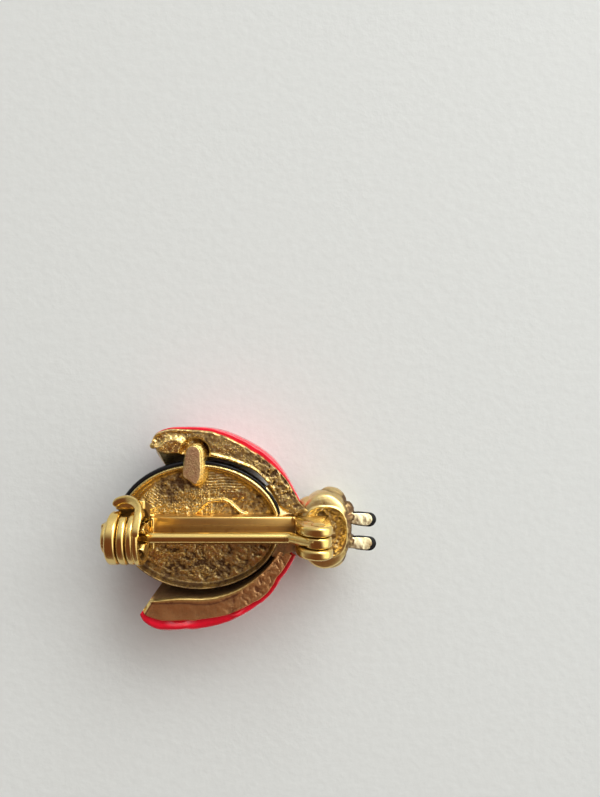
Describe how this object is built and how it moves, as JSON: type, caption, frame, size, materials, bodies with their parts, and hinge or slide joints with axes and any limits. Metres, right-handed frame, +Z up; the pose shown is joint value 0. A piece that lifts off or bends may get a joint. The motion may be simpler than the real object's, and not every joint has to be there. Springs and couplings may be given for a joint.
{
  "type": "ladybird brooch",
  "caption": "Ladybird brooch lying face down: cast gold-coloured back with open enamelled wings, a domed body, a head, and a bar pin-back with a hinged pin and a turning safety catch.",
  "frame": {"origin": "middle of the brooch's outline, on the surface that it lies on face down", "axes": "+X from the catch towards the head and antennae, +Z up out of the brooch's back, +Y towards the wing that has the strut"},
  "size_m": [0.0269, 0.0206, 0.0113],
  "materials": {
    "cast_gold": "gold plating on rough cast metal, dull in the hollows and bright on the edges",
    "polished_gold": "smooth gold plating",
    "black_enamel": "glossy black enamel",
    "red_enamel": "glossy red enamel"
  },
  "bodies": {
    "brooch": {"casting": "cast_gold", "body_enamel": "black_enamel", "wing_enamel_upper": "red_enamel", "wing_enamel_lower": "red_enamel", "antenna_enamel_upper": "black_enamel", "antenna_enamel_lower": "black_enamel", "hinge_rivet": "polished_gold"},
    "stem": {"pin_stem": "polished_gold"},
    "roller": {"catch_roller": "polished_gold"}
  },
  "joints": [
    {"name": "stem_open", "type": "hinge", "parent": "brooch", "child": "stem", "pos_m": [0.00725, -0.0001, 0.00995], "axis": [0, 1, 0], "range_deg": [0, 100]},
    {"name": "catch_turn", "type": "hinge", "parent": "brooch", "child": "roller", "pos_m": [-0.011, -0.0001, 0.0086], "axis": [1, 0, 0], "range_deg": [0, 122]}
  ]
}
